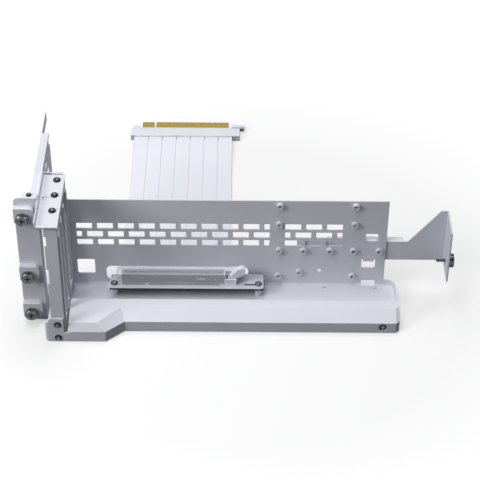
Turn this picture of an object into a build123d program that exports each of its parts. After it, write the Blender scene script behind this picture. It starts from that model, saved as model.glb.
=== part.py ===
"""Vertical mount for a graphics card: folded steel frame, card-slot frame,
adjustable support arm and a riser slot on a flat ribbon cable.

Millimetres. X runs along the card, Y away from the card's fans, Z up from the floor.
The two datums are the face of the card-slot wall and the front face of the panel.
"""
import os
from math import radians, tan

from build123d import *

# Datums
WALL_X = -145.5              # inner face of the card-slot wall
PANEL_Y = -9.55              # front face of the upright panel

# Sheet metal
SHEET = 1.0
BEND = 1.6                   # outside radius of the folds

# Main frame
PANEL_LENGTH = 271.0
PANEL_TOP = 96.0
PANEL_LAP = 10.0             # panel behind the slot frame's rear flange
SHELF_Z = 4.8                # top of the shelf
TRAY_LENGTH = 9.8            # tray end beyond the panel
SHELF_LENGTH = PANEL_LENGTH + TRAY_LENGTH
SHELF_DEPTH = 37.0           # level part of the shelf
STEP_RUN = 4.0               # slope down under the front bar
TROUGH_Z = 1.4
TROUGH_DEPTH = 54.0          # panel to the upturned front flange
FRONT_FLANGE_TOP = 9.6
RIM_HEIGHT = 5.0
RIM_RADIUS = 8.0
SIDE_LUG_HEIGHT = 12.0
SIDE_LUG_DEPTH = 16.0
SIDE_LUG_BACK = 4.0

# Brick pattern of the panel
BRICK_LENGTH = 13.5
BRICK_HEIGHT = 5.9
BRICK_PITCH = 17.76
BRICK_ROWS_Z = (50.6, 59.3, 68.2)
BRICK_START = 13.2           # centre of the first brick of the odd rows
BRICK_LEFT_COUNT = 9
BRICK_RIGHT_START = 190.8
BRICK_RIGHT_COUNT = 3
BRICK_HALF = 4.6

# Openings and holes of the panel and the shelf
LEFT_WINDOW = (5.2, 20.3, 15.5, 31.3)    # left, right, bottom, top
BEND_WINDOW = (PANEL_LENGTH - 19.5, PANEL_LENGTH - 7.5, 2.0, 9.5)
WINDOW_RADIUS = 1.2
OPENING_RADIUS = 5.0
SMALL_HOLE = (214.6, 20.1)
SHELF_HOLES = ((219.8, -5.8), (PANEL_LENGTH - 6.6, -6.3))
SMALL_HOLE_RADIUS = 1.7
SCREW_HOLE_RADIUS = 1.65
GUIDE_TAB_DEPTH = 6.5
GUIDE_TAB_SIDE = 1.4         # relief slit beside a lanced tab

# Threaded bosses of the panel
BOSS_RADIUS = 2.8
BOSS_HEIGHT = 3.0
BOSS_NECK_RADIUS = 2.1
BOSS_BORE_RADIUS = 1.5
THREAD_FIT = 0.05            # screw shank to bore
SHANK_RADIUS = BOSS_BORE_RADIUS - THREAD_FIT
DRIVE_LEFT = 179.2
DRIVE_SPACING_X = 64.0
DRIVE_BOTTOM = 15.0
DRIVE_SPACING_Z = 76.5
MIDDLE_BOSS_Z = 71.9
ARM_HOLES_Z = 43.2
ARM_SCREW_X = 222.8
ARM_BOSSES_X = (DRIVE_LEFT, 200.2, ARM_SCREW_X, DRIVE_LEFT + DRIVE_SPACING_X, PANEL_LENGTH - 5.8)
SPARE_BOSS = (197.1, 19.3)

# Front bar
BAR_LEFT = 2.4
BAR_GAP = 0.2
BAR_RIGHT = SHELF_LENGTH + 2 * BAR_GAP
BAR_BACK = -35.4
BAR_TOP_FRONT = -45.6
BAR_FRONT = -57.4
BULGE_TOP_FRONT = -66.0
BULGE_FRONT = -70.6
BULGE_TOP_RIGHT = 25.9
BULGE_RIGHT = 33.4
BEND_TOP_RIGHT = 45.2
BEND_RIGHT = 48.5
BAR_HEIGHT = 17.0
BAR_SKIRT = 10.5
BAR_WALL = 1.5
BAR_END_CHAMFER = 3.0
TAB_STEP = -12.2             # where the tab's left part curls back
TAB_RIGHT = -1.2
TAB_HEIGHT = 25.0
TAB_FOOT = 9.5
TAB_SHOULDER = 16.0
TAB_CURL = 5.0
TAB_CURL_RADIUS = 3.4
TAB_SCREWS = ((-6.2, 18.7), (-6.2, 4.6))
BAR_SCREW = (BAR_RIGHT - 14.2, 5.8)
BAR_SCREW_RADIUS = 3.6

# Slot frame, which holds the card's bracket
SLOT_PITCH = 20.32
SLOT_COUNT = 3
FLANGE_Z = 123.6             # seat of the card's bracket
FLANGE_WIDTH = 17.0
FLANGE_FRONT = BULGE_FRONT - 1.3
FLANGE_BACK = -2.2
FLANGE_SIDE_RISE = 4.4
LAST_CARD_SCREW_Y = -10.0
CARD_SCREW_X = -5.1
SLOT_OPENING_WIDTH = 14.4
SLOT_OPENING_BOTTOM = 14.0
SLOT_OPENING_TOP = FLANGE_Z - 11.6
SLOT_OPENING_SHIFT = -6.8    # opening centre in front of its screw
FACE_WIDTH = 11.0            # front flange of the slot frame
FACE_TOP = FLANGE_Z - 2.6
NOTCHES_Z = ((107.0, 10.0), (70.0, 15.0))
NOTCH_DEPTH = 1.6
REAR_FLANGE_WIDTH = 10.0
REAR_SCREWS_Z = (30.0, 82.0)
TOP_REAR_SCREW_Z = FLANGE_Z - 3.4
LOUVRE_COUNT = 3             # short slots pressed into the seat of the card's bracket
LOUVRE_PITCH = 1.5
LOUVRE_SIZE = (0.8, 3.6)
LOUVRE_PLACE = (-12.8, -33.6)

# Plate that takes the place of the case's slot covers
PLATE_FRONT = -43.2
PLATE_BACK = 55.0
PLATE_X = -FLANGE_WIDTH - SHEET
PLATE_TOP = FLANGE_Z + 1.4
PLATE_LIP = 6.5
PLATE_FACE_LEFT = PLATE_X - 19.0
PLATE_FACE_TOP = PLATE_TOP + 5.4
PLATE_FACE_RADIUS = 4.0
PLATE_WINDOW = (-30.0, 42.0, 14.0, PLATE_TOP - 21.0)
PLATE_SLOTS_Y = (8.0, 24.0)
PLATE_SLOT_SIZE = (11.0, 6.0)
PLATE_SLOT_Z = PLATE_TOP - 11.0
PAD_RISE = 5.5
PAD_RIGHT = PLATE_X - 2.6
PAD_BELOW = 6.2
PAD_ABOVE = 8.2
PAD_RADIUS = 4.0
THUMB_X = PLATE_X - 11.9
THUMB_BOTTOM_Z = 13.8
THUMB_SLOTS = (0, 2, 5)      # slot pitches up from the lowest screw
TONGUE_LENGTH = 36.0
TONGUE_HEIGHT = 9.0
TONGUE_JOG = 6.2             # outward step, under the plate's lip
TONGUE_ROOT = 3.0
TONGUES_Z = (13.0, PLATE_TOP - 7.0)

# Thumbscrews of the plate and the arm
THUMB_RADIUS = 5.4
THUMB_HEAD = 6.0
THUMB_WAIST_RADIUS = 4.0
THUMB_WAIST = 1.2
THUMB_CHAMFER = 0.6
THUMB_GROOVES = 16
THUMB_GROOVE = 0.8           # side of the square that cuts a groove
THUMB_CROSS = (5.2, 1.1, 1.6)            # length, width and depth
PLATE_THUMB_REACH = 13.0
ARM_THUMB_REACH = 9.0
END_THUMB_RADIUS = 6.1
SHANK_POINT = 0.5            # chamfered tip of a shank

# Cross-head screws, as shares of the head's radius and height
HEAD_CHAMFER = 0.45
CROSS_LENGTH = 1.1
CROSS_WIDTH = 0.26
CROSS_DEPTH = 0.6

# Support arm
ARM_LEFT = 194.5
ARM_RIGHT = PANEL_LENGTH + 51.0
ARM_BOTTOM = ARM_HOLES_Z - 11.2
ARM_TOP = ARM_HOLES_Z + 8.8
ARM_GAP = 0.2
ARM_SHEET = 1.2
ARM_RISE_START = ARM_RIGHT - 32.5
ARM_RISE_END = ARM_RIGHT - 6.6
ARM_PEAK = ARM_TOP + 33.2
ARM_LIP_LEFT = 220.0
ARM_LIP_RIGHT = ARM_RISE_START - 4.0
ARM_LIP_DEPTH = 6.6
ARM_END_FRONT = -29.2
ARM_END_BOTTOM = ARM_BOTTOM + 1.4
ARM_SLOT_LENGTH = 30.0
ARM_SLOT_WIDTH = 5.0
ARM_THUMB = (-12.0, ARM_BOTTOM + 10.6)   # Y and Z of the end thumbscrew
GUIDE_PLAY = 0.3             # guide tabs to the arm's edges
UPPER_GUIDE_WINDOW = (
    PANEL_LENGTH - 18.0, PANEL_LENGTH - 7.3, ARM_TOP + GUIDE_PLAY, ARM_TOP + 9.2
)
LOWER_GUIDE_WINDOW = (
    PANEL_LENGTH - 20.2, PANEL_LENGTH - 8.4, ARM_BOTTOM - 8.7, ARM_BOTTOM - GUIDE_PLAY
)

# Riser
SLOT_LENGTH = 89.0
SLOT_LEFT = 44.4
SLOT_Y = -12.4
SLOT_WIDTH = 7.6
SLOT_HEIGHT = 11.2
SLOT_KEY = 14.2              # left end to the key
SLOT_KEY_WIDTH = 1.7
CAVITY_WIDTH = 2.0
CAVITY_DEPTH = 8.4
CAVITY_END = 2.6
SHELL = 0.35
HOUSING_END = 3.5            # plastic end left of the shell
SHELL_SHORT = 1.2            # housing's right end past the shell
BOARD_LEFT = SLOT_LEFT - 10.6
BOARD_RIGHT = SLOT_LEFT + SLOT_LENGTH + 32.8
BOARD_FRONT = SLOT_Y - 8.4
BOARD_DEPTH = 20.0
BOARD_TOP = 16.5
BOARD_THICKNESS = 1.6
BOARD_RADIUS = 2.5
BOARD_EAR_RADIUS = 9.0
BOARD_HOLES_X = (BOARD_LEFT + 3.8, BOARD_RIGHT - 4.4)
BOARD_HOLES_Y = SLOT_Y - 2.2
POST_RADIUS = 2.9
RELIEF_SLOT = (BOARD_RIGHT - 16.8, BOARD_HOLES_Y - 0.8)  # left end and Y
RELIEF_SLOT_SIZE = (10.0, 1.8)
CABLE_OPENING = (BOARD_LEFT - 4.0, BOARD_RIGHT - 13.1, 8.6, BOARD_TOP + 7.2)
COVER_GAP = 0.2
COVER_DEPTH = 7.4
COVER_HEIGHT = 9.4
COVER_SLOPE = 3.0
COVER_END = 1.2              # cover's left end past the cable
COVER_PAST_SLOT = 14.8       # cover's right end past the slot

# Latch at the slot's right end, and the fork that carries it
LATCH_PIVOT = (SLOT_LEFT + SLOT_LENGTH + 4.2, BOARD_TOP + 3.8)
LATCH_HUB_RADIUS = 2.1
LATCH_PIN_RADIUS = 0.9
LATCH_PIN_INSET = 0.3        # pin's ends inside the fork's faces
LATCH_BORE_RADIUS = 1.0
LATCH_WIDTH = 5.2
LATCH_GAP = 0.3
LATCH_EDGE_RADIUS = 0.8
LATCH_PADDLE = (             # from the pivot, along X and Z, its tip below the card
    (-1.9, 0.5), (0.0, 4.8), (6.4, 12.2), (10.6, 13.5),
    (12.9, 12.6), (12.2, 6.6), (5.4, 3.0), (1.9, -0.8),
)
FORK_LENGTH = 9.6
FORK_WALL = 1.1
FORK_HEIGHT = 6.4

# Ribbon cable and its plug
STRIP_COUNT = 7
STRIP_PITCH = 13.75
STRIP_WIDTH = 13.35
STRIP_THICKNESS = 1.0
RIBBON_LEFT = SLOT_LEFT - 3.2
RIBBON_START_Z = BOARD_TOP + 1.9
FLOOR_GAP = 0.1
BEND_SHARE = 0.45            # share of the shorter run that a bend takes
PLUG_Y = 220.0
PLUG_DEPTH = 15.0
PLUG_LEFT = RIBBON_LEFT - 3.7
PLUG_RIGHT = PLUG_LEFT + 107.3
PLUG_HEIGHT = 8.2
PLUG_END = 2.0               # plug's end walls
BOARD_INSET = 1.0            # plug board behind the shells' back edge
HOOK_LEFT = PLUG_RIGHT - 8.0
HOOK_RIGHT = PLUG_RIGHT + 5.0
HOOK_SLOPE = 1.5
HOOK_DEPTH = 4.0
HOOK_HEIGHT = 2.4
FINGER_LEFT = PLUG_LEFT + 10.9
FINGER_SHORT = 11.65
FINGER_KEY = 1.9
FINGER_LONG = 71.65
FINGER_REACH = 9.0

os.makedirs("parts", exist_ok=True)


def at_x(x):
    """Upright plane across the card's length, x from the slot wall; local axes Y and Z."""
    return Plane.YZ.offset(WALL_X + x)


def at_y(y):
    """Upright plane along the card, y from the panel; local axes X and Z."""
    return Plane.XZ.offset(-(PANEL_Y + y))


def at_z(z):
    """Level plane at height z; local axes X and Y."""
    return Plane.XY.offset(z)


def box_x(left, right, low, high):
    """Rectangle between two X values and two values of the second local axis."""
    with Locations((WALL_X + (left + right) / 2, (low + high) / 2)):
        Rectangle(right - left, high - low)


def box_y(front, back, low, high):
    """Rectangle between two Y values and two heights, for planes across X."""
    with Locations((PANEL_Y + (front + back) / 2, (low + high) / 2)):
        Rectangle(back - front, high - low)


def box_xy(left, right, front, back):
    """Rectangle seen from above."""
    box_x(left, right, PANEL_Y + front, PANEL_Y + back)


def screw_hole(x, z, radius):
    with Locations((WALL_X + x, z)):
        Circle(radius)


def finish(part, name):
    part.part.label = name
    export_step(part.part, f"parts/{name}.step")


# Main frame: panel, shelf and front flange folded from one sheet
shelf_under = SHELF_Z - SHEET

with BuildPart() as main_frame:
    with BuildSketch(at_x(-PANEL_LAP)):
        with BuildLine():
            FilletPolyline(
                (PANEL_Y, PANEL_TOP),
                (PANEL_Y, SHELF_Z),
                (PANEL_Y - SHELF_DEPTH, SHELF_Z),
                (PANEL_Y - SHELF_DEPTH - STEP_RUN, TROUGH_Z),
                (PANEL_Y - TROUGH_DEPTH, TROUGH_Z),
                (PANEL_Y - TROUGH_DEPTH, FRONT_FLANGE_TOP),
                radius=BEND,
            )
            offset(amount=SHEET, side=Side.LEFT)
        make_face()
    extrude(amount=PANEL_LENGTH + PANEL_LAP)
    # the shelf and the lower panel stop at the slot wall
    with BuildSketch(at_x(-PANEL_LAP)):
        box_y(-TROUGH_DEPTH - SHEET, SHEET, 0, SLOT_OPENING_BOTTOM)
    extrude(amount=PANEL_LAP, mode=Mode.SUBTRACT)
    # room for the front bar's left wall
    with BuildSketch(at_x(0)):
        box_y(-TROUGH_DEPTH - SHEET, BAR_BACK + BAR_GAP, 0, FRONT_FLANGE_TOP)
    extrude(amount=BAR_LEFT + BAR_WALL + BAR_GAP, mode=Mode.SUBTRACT)
    # tray end beyond the panel, with its rim
    with BuildSketch(at_z(shelf_under)) as tray:
        box_xy(PANEL_LENGTH, SHELF_LENGTH, BAR_BACK, SHEET)
        fillet(tray.vertices().group_by(Axis.X)[-1].sort_by(Axis.Y)[-1], RIM_RADIUS)
    extrude(amount=SHEET + RIM_HEIGHT)
    with BuildSketch(at_z(SHELF_Z)) as tray_floor:
        box_xy(PANEL_LENGTH, SHELF_LENGTH - SHEET, BAR_BACK, 0)
        fillet(tray_floor.vertices().group_by(Axis.X)[-1].sort_by(Axis.Y)[-1], RIM_RADIUS - SHEET)
    extrude(amount=RIM_HEIGHT, mode=Mode.SUBTRACT)
    # side lug that is screwed to the slot wall
    with BuildSketch(at_x(0)):
        box_y(-SIDE_LUG_BACK - SIDE_LUG_DEPTH, -SIDE_LUG_BACK, shelf_under, SHELF_Z + SIDE_LUG_HEIGHT)
    extrude(amount=SHEET)
    with BuildSketch(at_x(0)):
        with Locations((PANEL_Y - SIDE_LUG_BACK - SIDE_LUG_DEPTH / 2, SHELF_Z + SIDE_LUG_HEIGHT / 2)):
            Circle(SCREW_HOLE_RADIUS)
    extrude(amount=SHEET, mode=Mode.SUBTRACT)
    # brick openings
    with BuildSketch(at_y(0)):
        low, middle, high = BRICK_ROWS_Z
        for row in (low, high):
            for i in range(BRICK_LEFT_COUNT):
                with Locations((WALL_X + BRICK_START + i * BRICK_PITCH, row)):
                    Rectangle(BRICK_LENGTH, BRICK_HEIGHT)
            left_end = BRICK_START + BRICK_LEFT_COUNT * BRICK_PITCH - BRICK_LENGTH / 2
            box_x(left_end, left_end + BRICK_HALF, row - BRICK_HEIGHT / 2, row + BRICK_HEIGHT / 2)
            for i in range(BRICK_RIGHT_COUNT):
                with Locations((WALL_X + BRICK_RIGHT_START + i * BRICK_PITCH, row)):
                    Rectangle(BRICK_LENGTH, BRICK_HEIGHT)
        for i in range(BRICK_LEFT_COUNT):
            with Locations((WALL_X + BRICK_START + (i + 0.5) * BRICK_PITCH, middle)):
                Rectangle(BRICK_LENGTH, BRICK_HEIGHT)
        for i in range(BRICK_RIGHT_COUNT - 1):
            with Locations((WALL_X + BRICK_RIGHT_START + (i + 0.5) * BRICK_PITCH, middle)):
                Rectangle(BRICK_LENGTH, BRICK_HEIGHT)
        first = BRICK_START - BRICK_LENGTH / 2
        right_first = BRICK_RIGHT_START - BRICK_LENGTH / 2
        right_last = BRICK_RIGHT_START + (BRICK_RIGHT_COUNT - 1) * BRICK_PITCH + BRICK_LENGTH / 2
        for left in (first, right_first, right_last - BRICK_HALF):
            box_x(left, left + BRICK_HALF, middle - BRICK_HEIGHT / 2, middle + BRICK_HEIGHT / 2)
    extrude(amount=-SHEET, mode=Mode.SUBTRACT)
    # windows and holes of the panel
    for window in (LEFT_WINDOW, UPPER_GUIDE_WINDOW, LOWER_GUIDE_WINDOW):
        with BuildSketch(at_y(0)) as opening:
            box_x(*window)
            fillet(opening.vertices(), WINDOW_RADIUS)
        extrude(amount=-SHEET, mode=Mode.SUBTRACT)
    with BuildSketch(at_y(0)) as opening:
        box_x(*CABLE_OPENING)
        fillet(opening.vertices(), OPENING_RADIUS)
    extrude(amount=-SHEET, mode=Mode.SUBTRACT)
    with BuildSketch(at_y(-2 * SHEET)):
        box_x(*BEND_WINDOW)
    extrude(amount=-4 * SHEET, mode=Mode.SUBTRACT)
    with BuildSketch(at_y(0)):
        screw_hole(*SMALL_HOLE, SMALL_HOLE_RADIUS)
        for z in REAR_SCREWS_Z:
            screw_hole(-REAR_FLANGE_WIDTH / 2, z, SCREW_HOLE_RADIUS)
        for x in ARM_BOSSES_X:
            screw_hole(x, ARM_HOLES_Z, BOSS_NECK_RADIUS)
        for x in (DRIVE_LEFT, DRIVE_LEFT + DRIVE_SPACING_X):
            for z in (DRIVE_BOTTOM, MIDDLE_BOSS_Z, DRIVE_BOTTOM + DRIVE_SPACING_Z):
                screw_hole(x, z, BOSS_NECK_RADIUS)
        screw_hole(*SPARE_BOSS, BOSS_NECK_RADIUS)
    extrude(amount=-SHEET, mode=Mode.SUBTRACT)
    with BuildSketch(at_z(shelf_under)):
        for x, y in SHELF_HOLES:
            screw_hole(x, PANEL_Y + y, SMALL_HOLE_RADIUS)
        for x in BOARD_HOLES_X:
            screw_hole(x, PANEL_Y + BOARD_HOLES_Y, SCREW_HOLE_RADIUS)
    extrude(amount=SHEET, mode=Mode.SUBTRACT)
    with BuildSketch(at_y(-TROUGH_DEPTH - SHEET)):
        screw_hole(*BAR_SCREW, BOSS_BORE_RADIUS)
    extrude(amount=-2 * SHEET, mode=Mode.SUBTRACT)
    # lanced tabs that guide the arm above and below
    tab_left, tab_right, tab_edge, _ = UPPER_GUIDE_WINDOW
    with BuildSketch(at_y(0)):
        box_x(tab_left, tab_left + GUIDE_TAB_SIDE, tab_edge - 2 * SHEET, tab_edge + SHEET)
        box_x(tab_right - GUIDE_TAB_SIDE, tab_right, tab_edge - 2 * SHEET, tab_edge + SHEET)
    extrude(amount=-SHEET, mode=Mode.SUBTRACT)
    with BuildSketch(at_y(0)):
        box_x(tab_left + GUIDE_TAB_SIDE, tab_right - GUIDE_TAB_SIDE, tab_edge, tab_edge + SHEET)
    extrude(amount=-GUIDE_TAB_DEPTH)
    tab_left, tab_right, _, tab_edge = LOWER_GUIDE_WINDOW
    with BuildSketch(at_y(0)):
        box_x(tab_left, tab_left + GUIDE_TAB_SIDE, tab_edge - SHEET, tab_edge + 2 * SHEET)
        box_x(tab_right - GUIDE_TAB_SIDE, tab_right, tab_edge - SHEET, tab_edge + 2 * SHEET)
    extrude(amount=-SHEET, mode=Mode.SUBTRACT)
    with BuildSketch(at_y(0)):
        box_x(tab_left + GUIDE_TAB_SIDE, tab_right - GUIDE_TAB_SIDE, tab_edge - SHEET, tab_edge)
    extrude(amount=-GUIDE_TAB_DEPTH)
finish(main_frame, "main_frame")

# Threaded bosses pressed into the panel
with BuildPart() as panel_bosses:
    boss_places = [(x, ARM_HOLES_Z) for x in ARM_BOSSES_X]
    boss_places += [
        (x, z)
        for x in (DRIVE_LEFT, DRIVE_LEFT + DRIVE_SPACING_X)
        for z in (DRIVE_BOTTOM, MIDDLE_BOSS_Z, DRIVE_BOTTOM + DRIVE_SPACING_Z)
    ]
    boss_places.append(SPARE_BOSS)
    with BuildSketch(at_y(0)):
        for x, z in boss_places:
            screw_hole(x, z, BOSS_RADIUS)
    extrude(amount=BOSS_HEIGHT)
    with BuildSketch(at_y(0)):
        for x, z in boss_places:
            screw_hole(x, z, BOSS_NECK_RADIUS)
    extrude(amount=-SHEET)
    with BuildSketch(at_y(SHEET)):
        for x, z in boss_places:
            screw_hole(x, z, BOSS_BORE_RADIUS)
    extrude(amount=BOSS_HEIGHT + SHEET, mode=Mode.SUBTRACT)
finish(panel_bosses, "panel_bosses")


# Front bar: a faceted cover, hollow and open below
def bar_outline(skirt, inset):
    """Outline of the bar at its skirt or at its top, drawn inwards by inset."""
    front, bulge = (BAR_FRONT, BULGE_FRONT) if skirt else (BAR_TOP_FRONT, BULGE_TOP_FRONT)
    corner = BULGE_RIGHT if skirt else BULGE_TOP_RIGHT
    turn = BEND_RIGHT if skirt else BEND_TOP_RIGHT
    points = [
        (BAR_LEFT + inset, BAR_BACK - inset),
        (BAR_LEFT + inset, bulge + inset),
        (corner - inset / 2, bulge + inset),
        (turn - inset / 2, front + inset),
        (BAR_RIGHT - BAR_END_CHAMFER - inset / 2, front + inset),
        (BAR_RIGHT - inset, front + BAR_END_CHAMFER + inset / 2),
        (BAR_RIGHT - inset, BAR_BACK - inset),
    ]
    Polygon(*[(WALL_X + x, PANEL_Y + y) for x, y in points], align=None)


with BuildPart() as front_bar:
    with BuildSketch(at_z(0)):
        bar_outline(True, 0)
    extrude(amount=BAR_SKIRT)
    with BuildSketch(at_z(BAR_SKIRT)):
        bar_outline(True, 0)
    with BuildSketch(at_z(BAR_HEIGHT)):
        bar_outline(False, 0)
    loft(ruled=True)
    with BuildSketch(at_z(0)):
        bar_outline(True, BAR_WALL)
    extrude(amount=BAR_SKIRT, mode=Mode.SUBTRACT)
    with BuildSketch(at_z(BAR_SKIRT)):
        bar_outline(True, BAR_WALL)
    with BuildSketch(at_z(BAR_HEIGHT - BAR_WALL)):
        bar_outline(False, BAR_WALL)
    loft(ruled=True, mode=Mode.SUBTRACT)
    # back wall and right wall opened over the shelf
    with BuildSketch(at_y(BAR_BACK)):
        box_x(BAR_LEFT, SHELF_LENGTH, 0, SHELF_Z)
    extrude(amount=2 * BAR_WALL, mode=Mode.SUBTRACT)
    # tab in front of the slot frame
    with BuildSketch(at_y(BULGE_FRONT)):
        with BuildLine():
            Polyline(
                [
                    (WALL_X + x, z)
                    for x, z in (
                        (TAB_STEP, 0),
                        (BAR_LEFT + BAR_WALL, 0),
                        (BAR_LEFT + BAR_WALL, TAB_FOOT),
                        (TAB_RIGHT, TAB_FOOT),
                        (TAB_RIGHT, TAB_HEIGHT),
                        (TAB_STEP, TAB_HEIGHT),
                    )
                ],
                close=True,
            )
        make_face()
        for x, z in TAB_SCREWS:
            with Locations((WALL_X + x, z)):
                Circle(SCREW_HOLE_RADIUS, mode=Mode.SUBTRACT)
    extrude(amount=-SHEET)
    # left part of the tab, curled back and sloped at the top
    with BuildSketch(at_z(0)):
        with BuildLine():
            FilletPolyline(
                (WALL_X + TAB_STEP, PANEL_Y + BULGE_FRONT),
                (WALL_X - FLANGE_WIDTH, PANEL_Y + BULGE_FRONT),
                (WALL_X - FLANGE_WIDTH, PANEL_Y + BULGE_FRONT + TAB_CURL),
                radius=TAB_CURL_RADIUS,
            )
            offset(amount=SHEET, side=Side.RIGHT)
        make_face()
    extrude(amount=TAB_HEIGHT)
    with BuildSketch(at_y(BULGE_FRONT)):
        with BuildLine():
            Polyline(
                (WALL_X - FLANGE_WIDTH, TAB_SHOULDER),
                (WALL_X + TAB_STEP, TAB_HEIGHT),
                (WALL_X - FLANGE_WIDTH, TAB_HEIGHT),
                close=True,
            )
        make_face()
    extrude(amount=-TAB_CURL, mode=Mode.SUBTRACT)
    # recess and hole of the end screw
    with BuildSketch(at_y(BAR_FRONT)):
        screw_hole(*BAR_SCREW, BOSS_NECK_RADIUS)
    extrude(amount=-BAR_WALL, mode=Mode.SUBTRACT)
    with BuildSketch(at_y(BAR_FRONT)):
        screw_hole(*BAR_SCREW, BAR_SCREW_RADIUS)
    extrude(amount=-BAR_WALL / 2, mode=Mode.SUBTRACT)
finish(front_bar, "front_bar")

# Slot frame
face_y = BULGE_FRONT + SHEET

with BuildPart() as slot_frame:
    with BuildSketch(at_x(-SHEET)):
        box_y(face_y, 0, 0, FLANGE_Z)
        for i in range(SLOT_COUNT):
            centre = LAST_CARD_SCREW_Y + SLOT_OPENING_SHIFT - i * SLOT_PITCH
            half = SLOT_OPENING_WIDTH / 2
            with Locations((PANEL_Y + centre, (SLOT_OPENING_BOTTOM + SLOT_OPENING_TOP) / 2)):
                RectangleRounded(
                    SLOT_OPENING_WIDTH,
                    SLOT_OPENING_TOP - SLOT_OPENING_BOTTOM,
                    WINDOW_RADIUS,
                    mode=Mode.SUBTRACT,
                )
        with Locations((PANEL_Y - SIDE_LUG_BACK - SIDE_LUG_DEPTH / 2, SHELF_Z + SIDE_LUG_HEIGHT / 2)):
            Circle(BOSS_BORE_RADIUS, mode=Mode.SUBTRACT)
    extrude(amount=SHEET)
    # the top flange and its upturned left edge, in one profile
    with BuildSketch(at_y(FLANGE_FRONT)):
        with BuildLine():
            FilletPolyline(
                (WALL_X + SHEET, FLANGE_Z),
                (WALL_X - FLANGE_WIDTH, FLANGE_Z),
                (WALL_X - FLANGE_WIDTH, FLANGE_Z + FLANGE_SIDE_RISE),
                radius=BEND,
            )
            offset(amount=SHEET, side=Side.LEFT)
        make_face()
    extrude(amount=-(FLANGE_BACK - FLANGE_FRONT))
    # front flange with its two shallow notches
    with BuildSketch(at_y(face_y)):
        box_x(-FACE_WIDTH, 0, 0, FACE_TOP)
        for z, height in NOTCHES_Z:
            with Locations((WALL_X - FACE_WIDTH, z)):
                Rectangle(2 * NOTCH_DEPTH, height, mode=Mode.SUBTRACT)
        for x, z in TAB_SCREWS:
            with Locations((WALL_X + x, z)):
                Circle(BOSS_BORE_RADIUS, mode=Mode.SUBTRACT)
    extrude(amount=-SHEET)
    # rear flange against the panel
    with BuildSketch(at_y(-SHEET)):
        box_x(-REAR_FLANGE_WIDTH, 0, SLOT_OPENING_BOTTOM, FLANGE_Z)
        for z in (*REAR_SCREWS_Z, TOP_REAR_SCREW_Z):
            with Locations((WALL_X - REAR_FLANGE_WIDTH / 2, z)):
                Circle(BOSS_BORE_RADIUS, mode=Mode.SUBTRACT)
    extrude(amount=-SHEET)
    with BuildSketch(at_z(FLANGE_Z - SHEET)):
        for i in range(SLOT_COUNT):
            screw_hole(CARD_SCREW_X, PANEL_Y + LAST_CARD_SCREW_Y - i * SLOT_PITCH, BOSS_BORE_RADIUS)
        with Locations((WALL_X + LOUVRE_PLACE[0], PANEL_Y + LOUVRE_PLACE[1])):
            with GridLocations(LOUVRE_PITCH, 0, LOUVRE_COUNT, 1):
                Rectangle(*LOUVRE_SIZE)
    extrude(amount=SHEET, mode=Mode.SUBTRACT)
finish(slot_frame, "slot_frame")

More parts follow.
